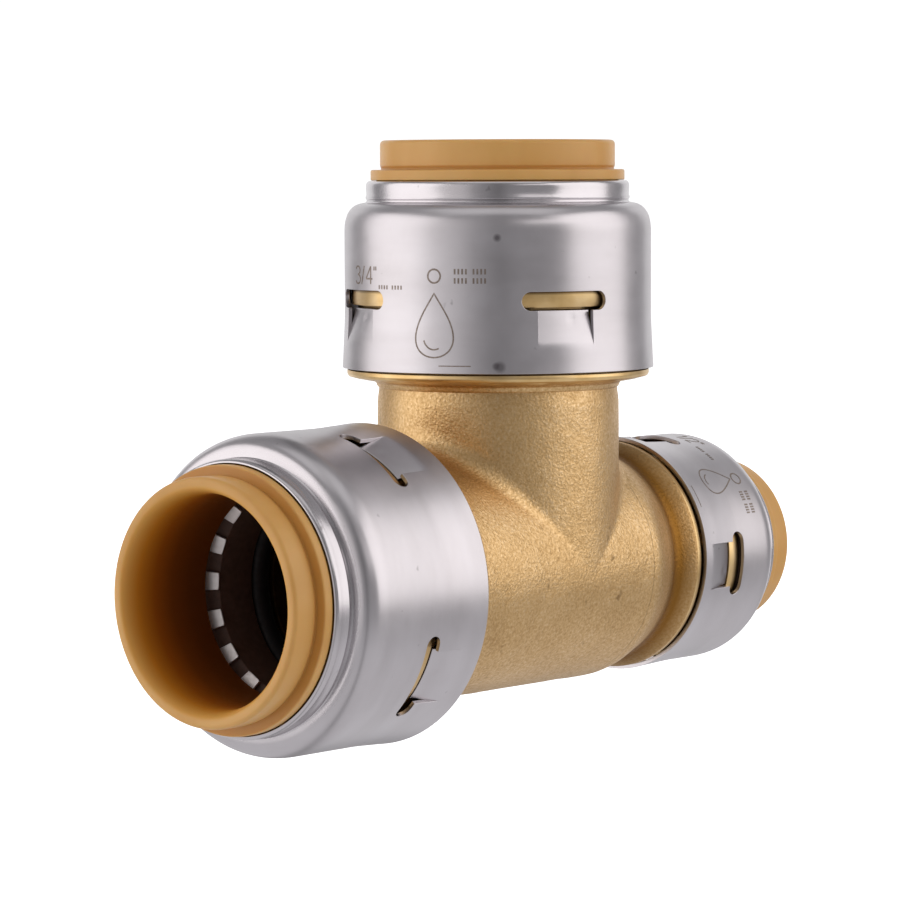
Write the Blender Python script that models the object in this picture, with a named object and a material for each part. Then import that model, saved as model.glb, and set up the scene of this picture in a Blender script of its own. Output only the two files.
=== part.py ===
"""Push to connect reducing tee: a cast brass body with three swivelling stainless collars.

Row frame, in metres. The origin is where the run's axis and the branch's axis cross. The run lies along X,
with the 3/4 inch inlet at -X and the 1/2 inch outlet at +X. The 3/4 inch branch points up +Z.
Every port piece is drawn about its own local Z axis, which points out of the port, and then turned into place.
Profiles are lists of (radius, distance from the tee's centre) in millimetres.
"""

import math

import bmesh
import bpy

MM = 0.001

# How deep a tube goes from the mouth of its release ring: 22.2 mm tube at 3/4 inch and 15.9 mm tube at 1/2 inch
DEPTH_34 = 28.6
DEPTH_12 = 23.8

# Cast body
TUBE_OUTER_R = 13.6
BRANCH_OUTER_R = 13.55
WATERWAY_R_34 = 9.6
BRANCH_WATERWAY_R = 9.4
WATERWAY_R_12 = 6.6

# Release rings are pushed 1.1 mm into their collars. The nose then stops just short of the teeth.

# Facets round a full turn
BODY_SIDES = 36
COLLAR_SIDES = 40
RING_SIDES = 32
INNER_SIDES = 28

# One set of sizes for each pipe size. Distances are measured from the tee's centre along the port's axis.
PORT_34 = {
    "mouth": 48.2,
    "stop": 48.2 - DEPTH_34,
    "collar_rear": 22.75,
    "flare_r": 17.53,
    "mid_flare": (17.41, 25.0),
    "collar_r": 17.25,
    "collar_straight": 29.0,
    "shoulder_r": 2.6,
    "shoulder_centre": (14.65, 38.65),
    "lip_r": 14.78,
    "lip_front": 43.65,
    "wall": 0.45,
    "slot_centre": 30.6,
    "slot_height": 2.06,
    "slot_span": 34.4,
    "tab_span": 22.3,
    "tab_root": 25.8,
    "tab_drop": 0.85,
    "land_r": 16.45,
    "groove_r": 15.7,
    "groove": (26.6, 29.85),
    "end": 33.0,
    "seat_r": 14.0,
    "seat": 25.2,
    "socket_r": 11.35,
    "oring": (12.35, 26.8, 1.4),
    "separator": (28.45, 33.3, 35.45, 13.7, 16.3, 11.5),
    "grip_plane": 36.1,
    "grip_r": 16.3,
    "tooth_root_r": 13.4,
    "tooth_knee": (12.6, 34.95),
    "tooth_tip": (11.1, 34.1),
    "teeth": 18,
    "brace": (36.45, 37.3, 13.0, 16.4),
    "nose": 35.9,
    "bore_r": 11.35,
    "nose_r": 12.6,
    "catch": (38.9, 40.35, 15.2),
    "stem_r": 13.6,
    "flange": (43.7, 44.9, 14.2),
    "barrel_r": 13.2,
}

PORT_12 = {
    "mouth": 42.6,
    "stop": 42.6 - DEPTH_12,
    "collar_rear": 21.1,
    "flare_r": 13.66,
    "mid_flare": (13.57, 23.2),
    "collar_r": 13.4,
    "collar_straight": 28.0,
    "shoulder_r": 1.9,
    "shoulder_centre": (11.5, 33.55),
    "lip_r": 11.5,
    "lip_front": 37.6,
    "wall": 0.45,
    "slot_centre": 27.65,
    "slot_height": 2.1,
    "slot_span": 32.0,
    "tab_span": 22.4,
    "tab_root": 22.5,
    "tab_drop": 0.85,
    "land_r": 12.6,
    "groove_r": 11.9,
    "groove": (23.3, 26.9),
    "end": 29.0,
    "seat_r": 10.55,
    "seat": 22.2,
    "socket_r": 8.15,
    "oring": (9.02, 23.7, 1.25),
    "separator": (25.2, 29.3, 30.25, 10.25, 12.4, 8.3),
    "grip_plane": 30.85,
    "grip_r": 12.4,
    "tooth_root_r": 9.7,
    "tooth_knee": (9.1, 29.9),
    "tooth_tip": (7.85, 29.15),
    "teeth": 12,
    "brace": (31.2, 31.85, 9.6, 12.5),
    "nose": 31.0,
    "bore_r": 8.1,
    "nose_r": 9.2,
    "catch": (33.4, 34.7, 11.9),
    "stem_r": 10.3,
    "flange": (37.7, 38.9, 10.9),
    "barrel_r": 9.9,
}

# name, sizes, turn about Y that points local Z out of the port, collar's clocking, teeth's clocking (degrees)
PORTS = (
    ("inlet", PORT_34, -90.0, 60.0, 7.7),
    ("branch", PORT_34, 0.0, 65.6, 0.0),
    ("outlet", PORT_12, 90.0, 4.1, 0.0),
)


def clear_scene():
    for obj in list(bpy.data.objects):
        bpy.data.objects.remove(obj, do_unlink=True)


def material(name, colour, roughness, metallic):
    mat = bpy.data.materials.new(name)
    mat.use_nodes = True
    shader = mat.node_tree.nodes["Principled BSDF"]
    shader.inputs["Base Color"].default_value = (*colour, 1.0)
    shader.inputs["Roughness"].default_value = roughness
    shader.inputs["Metallic"].default_value = metallic
    return mat


def ring_mesh(profile, sides, solid=False, phase=0.0):
    """A turned mesh: a closed loop of points makes a ring, and solid caps the first and last points instead."""
    bm = bmesh.new()
    loops = []
    for radius, along in profile:
        loop = []
        for i in range(sides):
            angle = math.tau * i / sides + phase
            loop.append(bm.verts.new((radius * math.cos(angle) * MM, radius * math.sin(angle) * MM, along * MM)))
        loops.append(loop)
    pairs = list(zip(loops, loops[1:]))
    if solid:
        bm.faces.new(loops[0])
        bm.faces.new(loops[-1])
    else:
        pairs.append((loops[-1], loops[0]))
    for low, high in pairs:
        for i in range(sides):
            j = (i + 1) % sides
            bm.faces.new((low[i], low[j], high[j], high[i]))
    bmesh.ops.recalc_face_normals(bm, faces=bm.faces)
    return bm


def to_object(bm, name, mat=None):
    mesh = bpy.data.meshes.new(name)
    bm.to_mesh(mesh)
    bm.free()
    obj = bpy.data.objects.new(name, mesh)
    bpy.context.scene.collection.objects.link(obj)
    if mat:
        mesh.materials.append(mat)
    return obj


def as_cutter(obj):
    obj.hide_render = True
    obj.display_type = "WIRE"
    return obj


def boolean(obj, other, operation):
    mod = obj.modifiers.new(f"{operation.lower()} {other.name}", "BOOLEAN")
    mod.operation = operation
    mod.solver = "EXACT"
    mod.object = other
    return mod


def smooth(obj, degrees=35.0):
    mesh = obj.data
    mesh.shade_smooth()
    mesh.set_sharp_from_angle(angle=math.radians(degrees))


def arc(centre, radius, start, end, steps):
    """Points on a quarter or part circle in (radius, along), from start to end degrees."""
    points = []
    for i in range(steps + 1):
        a = math.radians(start + (end - start) * i / steps)
        points.append((centre[0] + radius * math.cos(a), centre[1] + radius * math.sin(a)))
    return points


def socket_profile(p, outer):
    """The brass end that a collar snaps over, from the flange to the end face, outer radius first."""
    start, finish = p["groove"]
    return outer + [
        (p["land_r"], start),
        (p["groove_r"], start),
        (p["groove_r"], finish),
        (p["land_r"], finish),
        (p["land_r"], p["end"] - 0.3),
        (p["land_r"] - 0.3, p["end"]),
    ]


FLANGE_34 = [
    (TUBE_OUTER_R, 20.6),
    (13.75, 21.05),
    (14.25, 21.3),
    (16.0, 21.6),
    (16.85, 21.8),
    (17.0, 22.1),
    (17.0, 22.55),
    (16.45, 22.55),
]
NECK_12 = [
    (TUBE_OUTER_R, 11.6),
    (13.5, 12.8),
    (13.25, 13.6),
    (12.8, 14.9),
    (12.3, 16.5),
    (12.2, 17.1),
    (12.27, 17.7),
    (12.93, 19.15),
    (13.25, 19.7),
    (13.25, 20.5),
    (13.1, 20.65),
    (12.6, 20.65),
]


def tee_body(mat):
    """One casting: two crossing tubes, three machined ends, and the waterway and pipe sockets bored through."""
    left = [(r, -s) for r, s in reversed(socket_profile(PORT_34, FLANGE_34))]
    right = socket_profile(PORT_12, NECK_12)
    body = to_object(ring_mesh(left + right, BODY_SIDES, solid=True), "tee_body", mat)
    body.rotation_euler = (0.0, math.radians(90.0), 0.0)

    up = [(BRANCH_OUTER_R, -0.5), (BRANCH_OUTER_R, 20.55)] + socket_profile(PORT_34, FLANGE_34)[1:]
    branch = as_cutter(to_object(ring_mesh(up, BODY_SIDES, solid=True), "branch_tube"))

    a = PORT_34
    b = PORT_12
    through = [
        (a["seat_r"] + 0.3, -a["end"] - 0.6),
        (a["seat_r"], -a["end"] + 0.3),
        (a["seat_r"], -a["seat"]),
        (a["socket_r"], -a["seat"]),
        (a["socket_r"], -a["stop"]),
        (WATERWAY_R_34, -a["stop"]),
        (WATERWAY_R_34, 9.0),
        (WATERWAY_R_12, 12.0),
        (WATERWAY_R_12, b["stop"]),
        (b["socket_r"], b["stop"]),
        (b["socket_r"], b["seat"]),
        (b["seat_r"], b["seat"]),
        (b["seat_r"], b["end"] - 0.3),
        (b["seat_r"] + 0.3, b["end"] + 0.6),
    ]
    run_bore = as_cutter(to_object(ring_mesh(through, BODY_SIDES, solid=True), "run_bore"))
    run_bore.rotation_euler = (0.0, math.radians(90.0), 0.0)
    upward = [
        (BRANCH_WATERWAY_R, 0.0),
        (BRANCH_WATERWAY_R, a["stop"]),
        (a["socket_r"], a["stop"]),
        (a["socket_r"], a["seat"]),
        (a["seat_r"], a["seat"]),
        (a["seat_r"], a["end"] - 0.3),
        (a["seat_r"] + 0.3, a["end"] + 0.6),
    ]
    branch_bore = as_cutter(to_object(ring_mesh(upward, BODY_SIDES, solid=True), "branch_bore"))

    boolean(body, branch, "UNION")
    boolean(body, run_bore, "DIFFERENCE")
    boolean(body, branch_bore, "DIFFERENCE")
    smooth(body)
    return body


def collar_profile(p):
    """The pressed stainless shell: flared skirt, rounded shoulder and lip, with its wall thickness inside."""
    w = p["wall"]
    centre = p["shoulder_centre"]
    outside = [
        (p["flare_r"], p["collar_rear"]),
        p["mid_flare"],
        (p["collar_r"], p["collar_straight"]),
    ]
    outside += arc(centre, p["shoulder_r"], 0.0, 87.0, 3)
    outside += [(p["lip_r"], outside[-1][1] + 0.15), (p["lip_r"], p["lip_front"])]
    inner_shoulder = arc(centre, p["shoulder_r"] - w, 84.0, 0.0, 3)
    inside = [
        (p["lip_r"] - w, p["lip_front"]),
        (p["lip_r"] - w, inner_shoulder[0][1] + 0.1),
    ]
    inside += inner_shoulder
    inside += [
        (p["collar_r"] - w, p["collar_straight"]),
        (p["mid_flare"][0] - w, p["mid_flare"][1]),
        (p["flare_r"] - w, p["collar_rear"]),
    ]
    return outside + inside


def slot_outline(p):
    """A round-ended slot as (angle, along) points, going round once."""
    half = p["slot_height"] / 2
    end = math.degrees(half / p["collar_r"])
    reach = p["slot_span"] / 2 - end
    outline = []
    for side in (1, -1):
        for i in range(5):
            a = math.radians(-90.0 + 45.0 * i)
            outline.append((side * (reach + end * math.cos(a)), p["slot_centre"] + side * half * math.sin(a)))
        outline.append((0.0, p["slot_centre"] + side * half))
    return outline


def radial_prism(outline, inner_r, outer_r, name):
    """A cutter whose outline is given as (angle in degrees, along), drawn outwards from the port's axis."""
    bm = bmesh.new()
    layers = []
    for radius in (inner_r, outer_r):
        layer = []
        for angle, along in outline:
            a = math.radians(angle)
            layer.append(bm.verts.new((radius * math.cos(a) * MM, radius * math.sin(a) * MM, along * MM)))
        layers.append(layer)
    bm.faces.new(layers[0])
    bm.faces.new(layers[1])
    for i in range(len(outline)):
        j = (i + 1) % len(outline)
        bm.faces.new((layers[0][i], layers[0][j], layers[1][j], layers[1][i]))
    bmesh.ops.recalc_face_normals(bm, faces=bm.faces)
    return as_cutter(to_object(bm, name))


def cut_mesh(obj):
    """Apply the object's modifiers to its own mesh, so that the result can be edited."""
    graph = bpy.context.evaluated_depsgraph_get()
    mesh = bpy.data.meshes.new_from_object(obj.evaluated_get(graph))
    obj.modifiers.clear()
    obj.data = mesh


def bend_tabs(obj, p, clocking):
    """Press each tab's free edge inward, into the groove of the brass end."""
    top = p["slot_centre"] - p["slot_height"] / 2
    root = p["tab_root"]
    for vert in obj.data.vertices:
        x, y, z = vert.co / MM
        radius = math.hypot(x, y)
        angle = (math.degrees(math.atan2(y, x)) - clocking + 45.0) % 90.0 - 45.0
        if abs(angle) > p["tab_span"] / 2 + 0.3 or not root < z < top + 0.2 or radius < 1.0:
            continue
        share = (z - root) / (top - root)
        scale = (radius - p["tab_drop"] * share) / radius
        vert.co.x *= scale
        vert.co.y *= scale


def collar(name, p, clocking, mat):
    """The shell with four slots, each with a tab behind it that is slit at both sides and bent inward."""
    obj = to_object(ring_mesh(collar_profile(p), COLLAR_SIDES), name, mat)
    top = p["slot_centre"] - p["slot_height"] / 2
    low, high = p["collar_r"] - 2.0, p["collar_r"] + 2.0
    slit = 1.0
    cutters = []
    for quarter in range(4):
        turn = clocking + 90.0 * quarter
        outlines = [slot_outline(p)]
        for side in (-1, 1):
            edge = side * (p["tab_span"] / 2 + slit / 2)
            a, b = edge - slit / 2, edge + slit / 2
            outlines.append([(a, p["tab_root"]), (b, p["tab_root"]), (b, top + 0.4), (a, top + 0.4)])
        for i, outline in enumerate(outlines):
            turned = [(angle + turn, along) for angle, along in outline]
            cutters.append(radial_prism(turned, low, high, f"{name}_cut_{quarter}_{i}"))
            boolean(obj, cutters[-1], "DIFFERENCE")
    bpy.context.view_layer.update()
    cut_mesh(obj)
    for cutter in cutters:
        bpy.data.objects.remove(cutter, do_unlink=True)
    bend_tabs(obj, p, clocking)
    smooth(obj)
    return obj


def release_ring(name, p, mat):
    """The plastic ring that is pushed in to free the pipe: nose, catch, stem, flange and barrel with a rounded mouth."""
    catch_low, catch_high, catch_r = p["catch"]
    flange_low, flange_high, flange_r = p["flange"]
    mouth = p["mouth"]
    barrel = p["barrel_r"]
    bore = p["bore_r"]
    slope = p["nose_r"] - bore - 0.35
    profile = [
        (bore, p["nose"]),
        (bore + 0.35, p["nose"]),
        (p["nose_r"], p["nose"] + slope),
        (p["nose_r"], catch_low),
        (catch_r, catch_low),
        (catch_r, catch_high - 0.2),
        (catch_r - 0.3, catch_high),
        (p["stem_r"], catch_high),
        (p["stem_r"], flange_low),
        (flange_r, flange_low),
        (flange_r, flange_high),
        (barrel, flange_high),
        (barrel, mouth - 0.45),
        (barrel - 0.5, mouth),
        (bore + 0.75, mouth - 0.15),
        (bore, mouth - 1.6),
    ]
    obj = to_object(ring_mesh(profile, RING_SIDES), name, mat)
    smooth(obj)
    return obj


def brace_ring(name, p, mat):
    low, high, inner, outer = p["brace"]
    profile = [(inner, low), (outer, low), (outer, high - 0.2), (outer - 0.2, high), (inner, high)]
    obj = to_object(ring_mesh(profile, INNER_SIDES), name, mat)
    smooth(obj)
    return obj


def grab_ring(name, p, clocking, mat):
    """A spring-steel ring. Its teeth turn down steeply at the root, then lean in to bite the tube. All one piece."""
    thickness = 0.3
    drop = 0.38
    root_r = p["tooth_root_r"]
    plane = p["grip_plane"]
    pitch = math.tau / p["teeth"]
    bm = bmesh.new()
    columns = []
    for tooth in range(p["teeth"]):
        for step in (-0.5, -0.25, 0.25):
            columns.append((tooth + step, step))

    def point(angle, radius, along):
        a = angle * pitch + math.radians(clocking)
        return bm.verts.new((radius * math.cos(a) * MM, radius * math.sin(a) * MM, along * MM))

    flat = []
    for angle, _ in columns:
        flat.append(
            (
                point(angle, p["grip_r"], plane),
                point(angle, root_r, plane),
                point(angle, root_r, plane - thickness),
                point(angle, p["grip_r"], plane - thickness),
            )
        )
    count = len(columns)
    for i in range(count):
        a, b = flat[i], flat[(i + 1) % count]
        bm.faces.new((a[0], b[0], b[1], a[1]))
        bm.faces.new((a[2], b[2], b[3], a[3]))
        bm.faces.new((a[3], b[3], b[0], a[0]))
        if columns[i][1] != -0.25:
            bm.faces.new((a[1], b[1], b[2], a[2]))
            continue
        left, right = (a[1], a[2]), (b[1], b[2])
        for (radius, along), narrow, deep in ((p["tooth_knee"], 0.01, drop), (p["tooth_tip"], 0.02, thickness)):
            ends = []
            for angle in (columns[i][0] + narrow, columns[i][0] + 0.5 - narrow):
                ends.append((point(angle, radius, along), point(angle, radius, along - deep)))
            bm.faces.new((left[0], right[0], ends[1][0], ends[0][0]))
            bm.faces.new((left[1], right[1], ends[1][1], ends[0][1]))
            bm.faces.new((left[0], ends[0][0], ends[0][1], left[1]))
            bm.faces.new((right[0], ends[1][0], ends[1][1], right[1]))
            left, right = ends
        bm.faces.new((left[0], right[0], right[1], left[1]))
    bmesh.ops.recalc_face_normals(bm, faces=bm.faces)
    obj = to_object(bm, name, mat)
    return obj


def separator(name, p, mat):
    """The plastic ring between the seal and the grab ring, with a flange on the brass end and a coned seat."""
    low, flange_low, flange_high, tube_r, flange_r, bore = p["separator"]
    knee_r, knee_s = p["tooth_knee"]
    seat = knee_s - 0.75
    slope = (knee_s - p["tooth_tip"][1]) / (knee_r - p["tooth_tip"][0])
    foot = seat - slope * (knee_r - bore - 0.1)
    profile = [
        (bore, low),
        (tube_r, low),
        (tube_r, flange_low),
        (flange_r, flange_low),
        (flange_r, flange_high),
        (p["tooth_root_r"] + 0.2, flange_high),
        (knee_r, seat),
        (bore + 0.1, foot),
        (bore, foot - 0.1),
    ]
    obj = to_object(ring_mesh(profile, INNER_SIDES), name, mat)
    smooth(obj)
    return obj


def seal_ring(name, p, mat):
    centre_r, along, section = p["oring"]
    profile = []
    for i in range(8):
        a = math.tau * (i + 0.5) / 8
        profile.append((centre_r + section * math.cos(a), along + section * math.sin(a)))
    obj = to_object(ring_mesh(profile, INNER_SIDES), name, mat)
    smooth(obj, 60.0)
    return obj


def build():
    clear_scene()
    brass = material("brass", (0.62, 0.43, 0.19), 0.45, 1.0)
    steel = material("stainless", (0.62, 0.61, 0.62), 0.28, 1.0)
    spring = material("spring_steel", (0.55, 0.55, 0.54), 0.3, 1.0)
    plastic = material("tan_plastic", (0.72, 0.42, 0.18), 0.4, 0.0)
    brown = material("brown_plastic", (0.16, 0.12, 0.09), 0.5, 0.0)
    rubber = material("black_rubber", (0.02, 0.02, 0.02), 0.6, 0.0)
    tee_body(brass)
    for name, p, turn, clocking, teeth_at in PORTS:
        pieces = (
            collar(f"{name}_collar", p, clocking, steel),
            release_ring(f"{name}_release_ring", p, plastic),
            brace_ring(f"{name}_brace_ring", p, steel),
            grab_ring(f"{name}_grab_ring", p, teeth_at, spring),
            separator(f"{name}_separator", p, brown),
            seal_ring(f"{name}_oring", p, rubber),
        )
        for piece in pieces:
            piece.rotation_euler = (0.0, math.radians(turn), 0.0)


build()
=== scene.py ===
"""Looks for the push to connect reducing tee: finer pieces, materials, camera, floor and studio light."""

import math

import bmesh
import bpy
import numpy as np
from mathutils import Matrix, Vector, noise


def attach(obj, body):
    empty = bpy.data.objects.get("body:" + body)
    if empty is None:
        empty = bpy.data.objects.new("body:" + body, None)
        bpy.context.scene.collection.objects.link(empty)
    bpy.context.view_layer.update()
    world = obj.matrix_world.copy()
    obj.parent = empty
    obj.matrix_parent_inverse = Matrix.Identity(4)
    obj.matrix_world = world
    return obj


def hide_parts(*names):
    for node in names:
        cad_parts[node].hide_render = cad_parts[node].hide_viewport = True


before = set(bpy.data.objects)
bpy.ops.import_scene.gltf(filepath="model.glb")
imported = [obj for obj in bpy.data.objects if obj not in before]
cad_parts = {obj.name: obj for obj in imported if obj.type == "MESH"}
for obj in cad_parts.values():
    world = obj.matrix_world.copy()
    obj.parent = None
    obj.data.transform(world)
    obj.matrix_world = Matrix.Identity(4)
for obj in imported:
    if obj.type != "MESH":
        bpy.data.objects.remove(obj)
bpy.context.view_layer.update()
MM = 0.001

# Sizes of a 3/4 inch and a 1/2 inch end, the same as the CAD's, in millimetres. Distances run from the tee's
# centre along a port's axis.
SIZES = {
    "mouth": (48.2, 42.6),
    "stop": (19.6, 18.8),
    "rear": (22.75, 21.1),
    "flare_r": (17.53, 13.66),
    # radius, along
    "mid_flare": ((17.41, 25.0), (13.57, 23.2)),
    "r": (17.25, 13.4),
    "straight": (29.0, 28.0),
    "shoulder_r": (2.6, 1.9),
    "shoulder": (38.65, 33.55),
    "lip_r": (14.78, 11.5),
    "lip_front": (43.65, 37.6),
    "wall": (0.45, 0.45),
    "slot": (30.6, 27.65),
    "slot_h": (2.06, 2.1),
    # degrees, as is tab_span
    "slot_span": (34.4, 32.0),
    "tab_span": (22.3, 22.4),
    "tab_root": (25.8, 22.5),
    "tab_drop": (0.85, 0.85),
    "bore": (11.35, 8.1),
    "nose": (35.9, 31.0),
    "nose_r": (12.6, 9.2),
    # low, high, radius
    "catch": ((38.9, 40.35, 15.2), (33.4, 34.7, 11.9)),
    "stem": (13.6, 10.3),
    # low, high, radius
    "flange": ((43.7, 44.9, 14.2), (37.7, 38.9, 10.9)),
    "barrel": (13.2, 9.9),
    # radius of its centre line, along, section's radius
    "oring": ((12.35, 26.8, 1.4), (9.02, 23.7, 1.25)),
    # low, flange's low and high, tube's radius, flange's radius, bore
    "separator": ((28.45, 33.3, 35.45, 13.7, 16.3, 11.5), (25.2, 29.3, 30.25, 10.25, 12.4, 8.3)),
    "plane": (36.1, 30.85),
    "grip_r": (16.3, 12.4),
    "root_r": (13.4, 9.7),
    # radius, along, as is tip
    "knee": ((12.6, 34.95), (9.1, 29.9)),
    "tip": ((11.1, 34.1), (7.85, 29.15)),
    "teeth": (18, 12),
    # low, high, inner and outer radius
    "brace": ((36.45, 37.3, 13.0, 16.4), (31.2, 31.85, 9.6, 12.5)),
    "land": (16.45, 12.6),
    # low, high, radius
    "groove": ((26.6, 29.85, 15.7), (23.3, 26.9, 11.9)),
    "end": (33.0, 29.0),
    # radius, along
    "seat": ((14.0, 25.2), (10.55, 22.2)),
    "socket": (11.35, 8.15),
}
P34 = {name: pair[0] for name, pair in SIZES.items()}
P12 = {name: pair[1] for name, pair in SIZES.items()}
# port, sizes, turn about Y, collar's clocking, teeth's clocking
PORTS = (
    ("inlet", P34, -90.0, 60.0, 7.7),
    ("branch", P34, 0.0, 65.6, 0.0),
    ("outlet", P12, 90.0, 4.1, 0.0),
)
# The size marked on each collar, and the angle of the middle of its marks
MARKS = {"inlet": ('3/4"', 105.0), "branch": ('3/4"', -164.0), "outlet": ('1/2"', -130.0)}
# Small dark scuffs on a collar, as (angle, along, radius, size)
SCUFFS = {"branch": [(-139.6, 23.5, 17.45, 0.75), (-141.0, 23.6, 17.45, 0.5), (-140.5, 37.5, 17.4, 0.55)]}
# Radii of the cast tubes, of the waterway, and of the waterway at the outlet
TUBE_R = 13.6
BORE_34 = 9.6
BORE_12 = 6.6


# ---------------------------------------------------------------- node helpers
class Nodes:
    """A node tree with short calls for the nodes that this file uses."""

    def __init__(self, tree, coords):
        self.tree = tree
        self.coords = tree.nodes.new("ShaderNodeTexCoord").outputs[coords]

    def put(self, socket, value):
        """Link a node's output to the socket, or set the socket to a plain value."""
        if hasattr(value, "is_linked"):
            self.tree.links.new(value, socket)
        else:
            socket.default_value = value

    def math(self, operation, a, b=0.0):
        node = self.tree.nodes.new("ShaderNodeMath")
        node.operation = operation
        self.put(node.inputs[0], a)
        self.put(node.inputs[1], b)
        return node.outputs["Value"]

    def vector_math(self, operation, vector):
        """DISTANCE or DOT_PRODUCT of the coordinates and a fixed vector."""
        node = self.tree.nodes.new("ShaderNodeVectorMath")
        node.operation = operation
        self.put(node.inputs[0], self.coords)
        node.inputs[1].default_value = vector
        return node.outputs["Value"]

    def span(self, value, low, high, to_low, to_high):
        node = self.tree.nodes.new("ShaderNodeMapRange")
        self.put(node.inputs["Value"], value)
        for name, number in (("From Min", low), ("From Max", high), ("To Min", to_low), ("To Max", to_high)):
            node.inputs[name].default_value = number
        return node.outputs["Result"]


class Mat(Nodes):
    """A Principled material. Positions in its nodes are in metres, in the piece's own coordinates."""

    def __init__(self, name, colour, roughness, metallic=0.0):
        self.mat = bpy.data.materials.new(name)
        self.mat.use_nodes = True
        super().__init__(self.mat.node_tree, "Object")
        self.shader = self.tree.nodes["Principled BSDF"]
        self.set(Base_Color=(*colour, 1.0), Roughness=roughness, Metallic=metallic)

    def set(self, **values):
        for name, value in values.items():
            self.put(self.shader.inputs[name.replace("_", " ")], value)

    def stretch(self, scale):
        node = self.tree.nodes.new("ShaderNodeMapping")
        self.put(node.inputs["Vector"], self.coords)
        node.inputs["Scale"].default_value = scale
        return node.outputs["Vector"]

    def noise(self, scale, detail=3.0, rough=0.5, vector=None):
        node = self.tree.nodes.new("ShaderNodeTexNoise")
        self.put(node.inputs["Vector"], vector or self.coords)
        node.inputs["Scale"].default_value = scale
        node.inputs["Detail"].default_value = detail
        node.inputs["Roughness"].default_value = rough
        return node.outputs["Fac"]

    def cells(self, scale):
        node = self.tree.nodes.new("ShaderNodeTexVoronoi")
        self.put(node.inputs["Vector"], self.coords)
        node.inputs["Scale"].default_value = scale
        return node.outputs["Distance"]

    def ramp(self, value, stops):
        node = self.tree.nodes.new("ShaderNodeValToRGB")
        self.put(node.inputs["Fac"], value)
        marks = node.color_ramp.elements
        while len(marks) < len(stops):
            marks.new(0.5)
        for mark, (at, colour) in zip(marks, stops):
            mark.position = at
            mark.color = (*colour, 1.0)
        return node.outputs["Color"]

    def mix(self, amount, a, b):
        """Colour a where amount is 0 and b where it is 1."""
        node = self.tree.nodes.new("ShaderNodeMix")
        node.data_type = "RGBA"
        self.put(node.inputs["Factor"], amount)
        self.put(node.inputs[6], a)
        self.put(node.inputs[7], b)
        return node.outputs[2]

    def split(self):
        node = self.tree.nodes.new("ShaderNodeSeparateXYZ")
        self.put(node.inputs[0], self.coords)
        return node.outputs

    def from_axis(self):
        """Distance from the piece's own Z axis."""
        x, y, _ = self.split()
        square = self.math("ADD", self.math("POWER", x, 2.0), self.math("POWER", y, 2.0))
        return self.math("SQRT", square)

    def bump(self, height, distance, strength=1.0, normal=None):
        node = self.tree.nodes.new("ShaderNodeBump")
        node.inputs["Strength"].default_value = strength
        node.inputs["Distance"].default_value = distance
        self.put(node.inputs["Height"], height)
        if normal:
            self.put(node.inputs["Normal"], normal)
        return node.outputs["Normal"]


def cast_brass():
    """Sand-cast brass: a fine, sparkling grain, a few pits and a slow unevenness of tone."""
    m = Mat("cast_brass", (0.62, 0.42, 0.19), 0.46, 1.0)
    grain = m.noise(3300.0, 2.5, 0.55)
    cells = m.cells(3600.0)
    slow = m.noise(110.0, 3.0, 0.55)
    tone = m.math("ADD", m.math("MULTIPLY", grain, 0.65), m.math("MULTIPLY", slow, 0.35))
    colour = m.ramp(
        tone,
        [
            (0.30, (0.50, 0.31, 0.13)),
            (0.45, (0.64, 0.42, 0.19)),
            (0.57, (0.73, 0.50, 0.25)),
            (0.75, (0.88, 0.66, 0.40)),
        ],
    )
    pits = m.span(m.noise(420.0, 2.0, 0.5), 0.70, 0.76, 0.0, 0.55)
    colour = m.mix(pits, colour, (0.20, 0.11, 0.04, 1.0))
    # A fine parting line round the run, near the outlet, below the branch
    x, y, z = m.split()
    wander = m.math("MULTIPLY", m.math("SINE", m.math("MULTIPLY", y, 260.0)), 0.0003)
    off = m.math("ABSOLUTE", m.math("SUBTRACT", m.math("SUBTRACT", x, 0.0112), wander))
    below = m.span(z, 0.0085, 0.0095, 1.0, 0.0)
    line = m.math("MULTIPLY", m.span(off, 0.00004, 0.00016, 1.0, 0.0), below)
    colour = m.mix(m.math("MULTIPLY", line, 0.3), colour, (0.22, 0.12, 0.04, 1.0))
    # Painted shade: darker, browner colour in the concave groove of the waist before the outlet's collar
    neck = m.math("MULTIPLY", m.span(x, 0.0155, 0.0169, 0.0, 1.0), m.span(x, 0.0180, 0.0198, 1.0, 0.40))
    colour = m.mix(neck, colour, (0.26, 0.12, 0.022, 1.0))
    rough = m.span(grain, 0.3, 0.7, 0.50, 0.36)
    height = m.math("ADD", grain, m.math("MULTIPLY", cells, 0.4))
    lift = m.bump(m.math("SUBTRACT", height, m.math("MULTIPLY", line, 0.25)), 0.0001, 0.5)
    m.set(Base_Color=colour, Roughness=rough, Normal=m.bump(slow, 0.0004, 0.3, lift))
    return m.mat


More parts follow.
